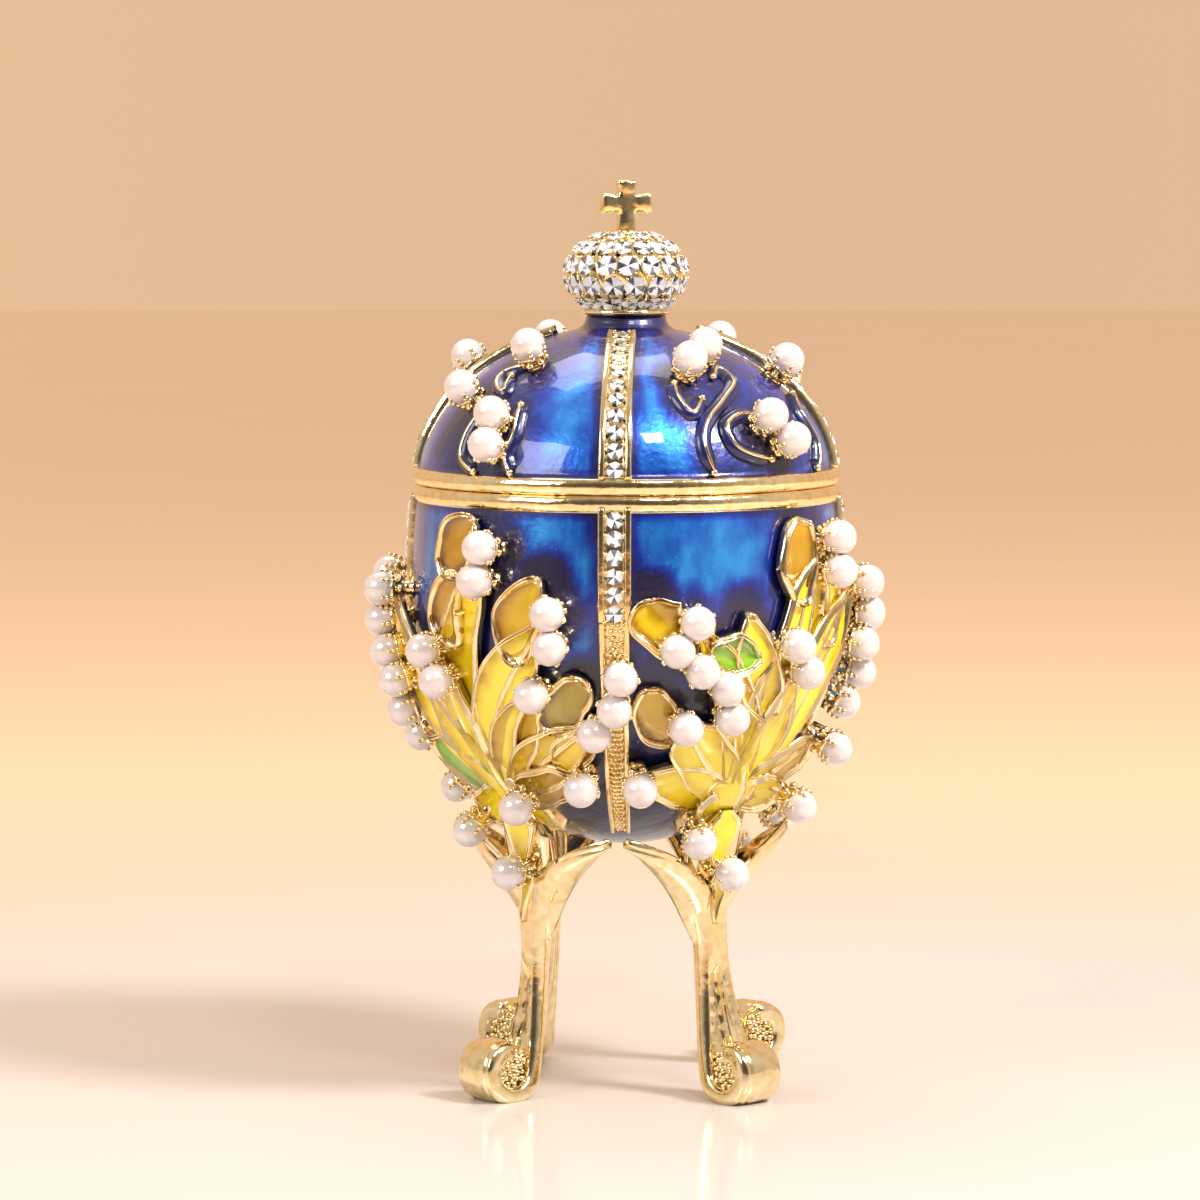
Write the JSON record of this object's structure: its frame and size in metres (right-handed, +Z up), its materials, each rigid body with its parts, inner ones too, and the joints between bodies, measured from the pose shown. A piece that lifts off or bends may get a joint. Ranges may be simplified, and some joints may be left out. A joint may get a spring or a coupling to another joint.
{
  "type": "egg-shaped trinket box",
  "caption": "Egg-shaped trinket box on scroll-footed legs, with a lift-off domed lid, crown finial, leaf sprays and pearl trim.",
  "frame": {"origin": "middle of the footprint, on the table under the feet", "axes": "+Z up through the cross, the front stone-set band faces -Y, +X to the viewer's right"},
  "size_m": [0.0606, 0.0606, 0.105],
  "materials": {
    "blue_enamel": "glossy translucent enamel over cast metal",
    "gold_plate": "polished pale gold plating over cast metal",
    "pearl": "lustrous imitation pearl",
    "leaf_enamel": "glossy yellow enamel",
    "crystal": "cut clear stone with a foiled back"
  },
  "bodies": {
    "root": {"crown_finial": "gold_plate", "egg_cup": "blue_enamel", "egg_lid": "blue_enamel", "leg_back_left": "gold_plate", "leg_back_right": "gold_plate", "leg_front_left": "gold_plate", "leg_front_right": "gold_plate", "lid_pearls_back_left_1": "pearl", "lid_pearls_back_left_2": "pearl", "lid_pearls_back_left_3": "pearl", "lid_pearls_back_right_1": "pearl", "lid_pearls_back_right_2": "pearl", "lid_pearls_back_right_3": "pearl", "lid_pearls_front_left_1": "pearl", "lid_pearls_front_left_2": "pearl", "lid_pearls_front_left_3": "pearl", "lid_pearls_front_right_1": "pearl", "lid_pearls_front_right_2": "pearl", "lid_pearls_front_right_3": "pearl", "pearls_back_left_1": "pearl", "pearls_back_left_2": "pearl", "pearls_back_left_3": "pearl", "pearls_back_left_4": "pearl", "pearls_back_left_5": "pearl", "pearls_back_left_6": "pearl", "pearls_back_left_7": "pearl", "pearls_back_left_8": "pearl", "pearls_back_left_9": "pearl", "pearls_back_left_knee": "pearl", "pearls_back_right_1": "pearl", "pearls_back_right_2": "pearl", "pearls_back_right_3": "pearl", "pearls_back_right_4": "pearl", "pearls_back_right_5": "pearl", "pearls_back_right_6": "pearl", "pearls_back_right_7": "pearl", "pearls_back_right_8": "pearl", "pearls_back_right_9": "pearl", "pearls_back_right_knee": "pearl", "pearls_front_left_1": "pearl", "pearls_front_left_2": "pearl", "pearls_front_left_3": "pearl", "pearls_front_left_4": "pearl", "pearls_front_left_5": "pearl", "pearls_front_left_6": "pearl", "pearls_front_left_7": "pearl", "pearls_front_left_8": "pearl", "pearls_front_left_9": "pearl", "pearls_front_left_knee": "pearl", "pearls_front_right_1": "pearl", "pearls_front_right_2": "pearl", "pearls_front_right_3": "pearl", "pearls_front_right_4": "pearl", "pearls_front_right_5": "pearl", "pearls_front_right_6": "pearl", "pearls_front_right_7": "pearl", "pearls_front_right_8": "pearl", "pearls_front_right_9": "pearl", "pearls_front_right_knee": "pearl"}
  },
  "joints": []
}
